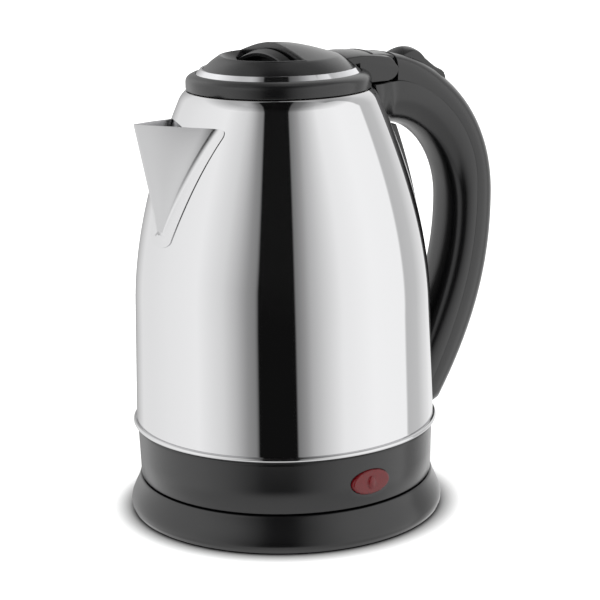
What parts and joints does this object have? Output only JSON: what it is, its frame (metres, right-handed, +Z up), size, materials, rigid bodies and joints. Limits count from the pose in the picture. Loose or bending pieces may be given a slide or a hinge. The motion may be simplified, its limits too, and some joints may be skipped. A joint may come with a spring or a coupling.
{
  "type": "electric kettle",
  "caption": "Cordless electric kettle with a steel jug, V spout, hinged lid, loop handle with power switch, and a round power base it lifts off and turns on.",
  "frame": {"origin": "centre of the face that the power base rests on, on the jug's axis", "axes": "+Z up along the jug's axis, +X towards the handle, -X towards the spout, -Y towards the lamp"},
  "size_m": [0.2047, 0.1548, 0.2293],
  "materials": {
    "black_plastic": "fine satin moulded ABS or polypropylene",
    "dark_plastic": "plain moulded plastic on hidden faces",
    "polished_steel": "mirror polished stainless steel",
    "plain_steel": "plain stainless or plated steel",
    "chrome": "bright chrome plating on plastic",
    "aluminium": "plain cast aluminium",
    "contact_brass": "plain brass",
    "lens": "clear red polycarbonate",
    "lamp_glass": "small neon tube",
    "ivory_plastic": "heat resistant thermoset",
    "rubber": "moulded rubber",
    "silicone": "translucent silicone",
    "wire": "insulated wire"
  },
  "bodies": {
    "base": {"base_shell": "black_plastic", "base_bottom": "dark_plastic", "base_feet": "rubber", "base_screws": "plain_steel", "cord_inlet": "black_plastic"},
    "connector": {"base_connector": "dark_plastic", "base_contacts": "contact_brass"},
    "kettle": {"steel_body": "polished_steel", "spout": "polished_steel", "body_ring": "polished_steel", "heating_plate": "plain_steel", "heat_spreader": "aluminium", "heating_element": "aluminium", "control_unit": "ivory_plastic", "control_bimetals": "plain_steel", "kettle_connector": "dark_plastic", "kettle_contacts": "contact_brass", "skirt": "black_plastic", "bottom_cover": "dark_plastic", "kettle_screws": "plain_steel", "lamp_lens": "lens", "lamp_bulb": "lamp_glass", "lamp_holder": "ivory_plastic", "handle_strap": "black_plastic", "handle_inner_shell": "black_plastic", "handle_outer_shell": "black_plastic", "handle_brackets": "plain_steel", "handle_screws": "plain_steel", "internal_wires": "wire", "steam_tube": "silicone", "switch_contacts": "contact_brass", "switch_bimetal": "plain_steel", "switch_pin": "plain_steel", "hinge_pin": "plain_steel"},
    "switch": {"switch_rocker": "black_plastic"},
    "lid": {"lid_frame": "black_plastic", "lid_trim_ring": "chrome", "lid_cap": "black_plastic", "lid_cover": "plain_steel", "lid_gasket": "silicone", "lid_screws": "plain_steel"}
  },
  "joints": [
    {"name": "kettle_swivel", "type": "hinge", "parent": "base", "child": "connector", "pos_m": [0, 0, 0.02], "axis": [0, 0, 1], "continuous": true},
    {"name": "kettle_lift", "type": "slide", "parent": "connector", "child": "kettle", "axis": [0, 0, 1], "range_m": [0, 0.1]},
    {"name": "lid_hinge", "type": "hinge", "parent": "kettle", "child": "lid", "pos_m": [0.054, 0, 0.214], "axis": [0, 1, 0], "range_deg": [0, 65]},
    {"name": "switch_pivot", "type": "hinge", "parent": "kettle", "child": "switch", "pos_m": [0.084, 0, 0.206], "axis": [0, 1, 0], "range_deg": [0, 8]}
  ]
}
